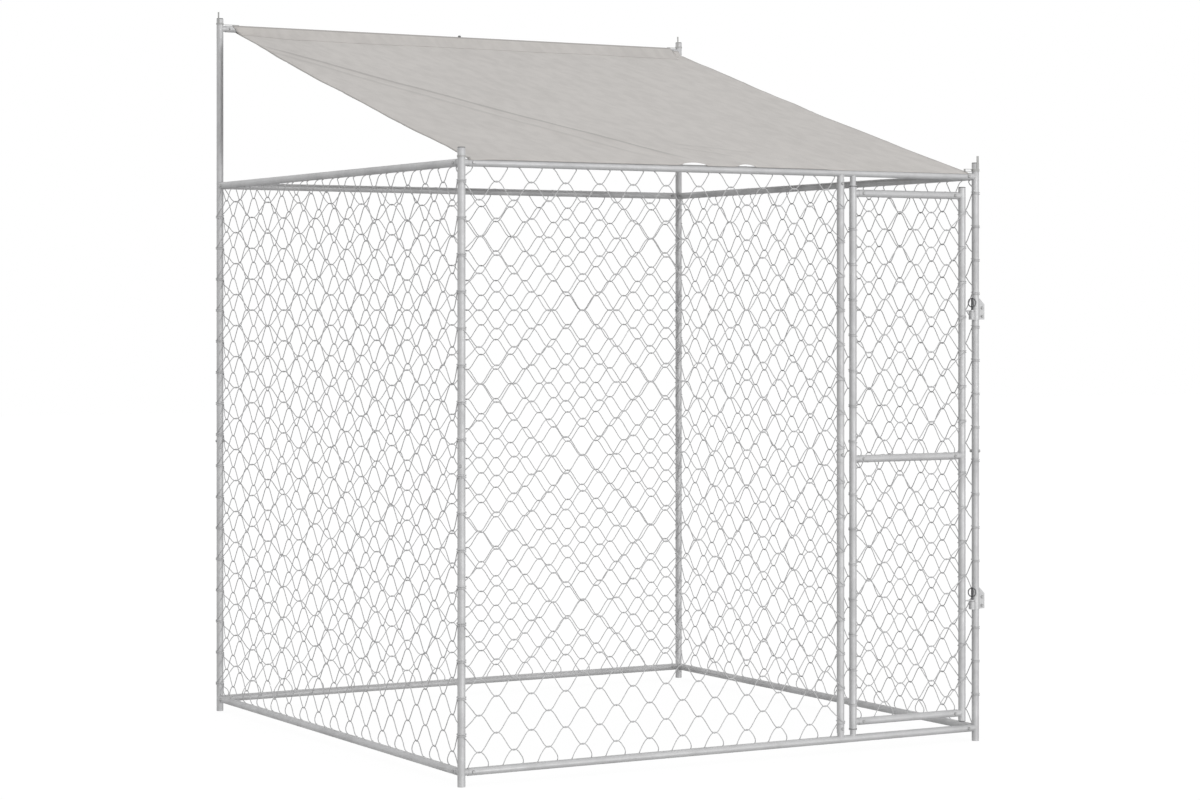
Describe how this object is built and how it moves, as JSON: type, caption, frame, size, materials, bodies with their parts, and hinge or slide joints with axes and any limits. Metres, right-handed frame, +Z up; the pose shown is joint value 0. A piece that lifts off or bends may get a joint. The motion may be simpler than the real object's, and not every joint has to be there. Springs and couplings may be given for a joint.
{
  "type": "outdoor dog kennel run",
  "caption": "Walk-in dog run of galvanised tube and chain-link wire, with a pivoting door, drop-pin latches and a sloping fabric roof.",
  "frame": {"origin": "middle of the part's box, at ground level", "axes": "+Z up, -Y towards the front with the door, +X to the right seen from the front"},
  "size_m": [2.028, 2.013, 2.577],
  "materials": {
    "galvanised_tube": "galvanised",
    "galvanised_wire": "galvanised",
    "zinc_fasteners": "zinc plated",
    "latch_steel": "galvanised",
    "dark_pin": "satin",
    "cap_plastic": "moulded",
    "bush_plastic": "moulded",
    "roof_fabric": "woven, coated",
    "tie_plastic": "moulded"
  },
  "bodies": {
    "frame": {"front_left_post_lower": "galvanised_tube", "front_left_post_upper": "galvanised_tube", "front_right_post_lower": "galvanised_tube", "front_right_post_upper": "galvanised_tube", "back_left_post_lower": "galvanised_tube", "back_left_post_upper": "galvanised_tube", "back_right_post_lower": "galvanised_tube", "back_right_post_upper": "galvanised_tube", "door_post_lower": "galvanised_tube", "door_post_upper": "galvanised_tube", "front_bottom_rail": "galvanised_tube", "front_top_rail": "galvanised_tube", "back_bottom_rail": "galvanised_tube", "back_top_rail": "galvanised_tube", "roof_rail": "galvanised_tube", "left_bottom_rail": "galvanised_tube", "left_top_rail": "galvanised_tube", "right_bottom_rail": "galvanised_tube", "right_top_rail": "galvanised_tube", "post_caps": "cap_plastic", "frame_bolts": "zinc_fasteners", "frame_nuts": "zinc_fasteners", "front_net": "galvanised_wire", "left_net": "galvanised_wire", "right_net": "galvanised_wire", "back_net": "galvanised_wire", "roof_cloth": "roof_fabric", "roof_ties": "tie_plastic", "lower_latch_clamp": "latch_steel", "upper_latch_clamp": "latch_steel", "latch_bolts": "zinc_fasteners", "latch_nuts": "zinc_fasteners"},
    "door": {"door_hinge_stile": "galvanised_tube", "door_latch_stile": "galvanised_tube", "door_bottom_rail": "galvanised_tube", "door_middle_rail": "galvanised_tube", "door_top_rail": "galvanised_tube", "door_caps": "cap_plastic", "door_bolts": "zinc_fasteners", "door_nuts": "zinc_fasteners", "door_lower_net": "galvanised_wire", "door_upper_net": "galvanised_wire", "hinge_bush_bottom": "bush_plastic", "hinge_bush_top": "bush_plastic"},
    "lower_latch_pin": {"lower_latch_pin": "dark_pin"},
    "upper_latch_pin": {"upper_latch_pin": "dark_pin"}
  },
  "joints": [
    {"name": "door_hinge", "type": "hinge", "parent": "frame", "child": "door", "pos_m": [0.4695, -0.98502, 0], "axis": [0, 0, -1], "range_deg": [0, 110]},
    {"name": "lower_latch_pin_slide", "type": "slide", "parent": "door", "child": "lower_latch_pin", "axis": [0, 0, 1], "range_m": [-0.008, 0]},
    {"name": "upper_latch_pin_slide", "type": "slide", "parent": "door", "child": "upper_latch_pin", "axis": [0, 0, 1], "range_m": [-0.008, 0]}
  ]
}
